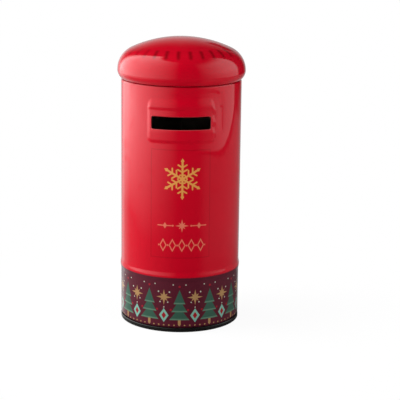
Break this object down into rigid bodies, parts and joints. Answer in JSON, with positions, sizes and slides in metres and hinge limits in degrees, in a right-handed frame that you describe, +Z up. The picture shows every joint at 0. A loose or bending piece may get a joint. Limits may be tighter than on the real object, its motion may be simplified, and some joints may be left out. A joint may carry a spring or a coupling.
{
  "type": "tin money box",
  "caption": "Round tinplate money box shaped like a street letter box, with a coin slot in a raised field, a swelled bead above a printed band, a seamed base and a lift-off domed lid.",
  "frame": {"origin": "middle of the circle that the base's standing ring touches the table on", "axes": "+Z up along the tin's axis; the coin slot faces -Y; +X is to the right of someone facing the slot"},
  "size_m": [0.0706, 0.0706, 0.1592],
  "materials": {
    "red_lacquer": "gloss printed lacquer on tinplate",
    "lid_lacquer": "gloss printed lacquer on drawn tinplate",
    "black_lacquer": "satin black lacquer on tinplate",
    "bare_tinplate": "bare rolled tinplate"
  },
  "bodies": {
    "tin": {"body_wall": "red_lacquer", "base_end": "black_lacquer", "neck_ring": "bare_tinplate"},
    "lid": {"lid_dome": "lid_lacquer", "lid_sleeve": "bare_tinplate"}
  },
  "joints": [
    {"name": "lid_lift", "type": "slide", "parent": "tin", "child": "lid", "axis": [0, 0, 1], "range_m": [0, 0.06]}
  ]
}
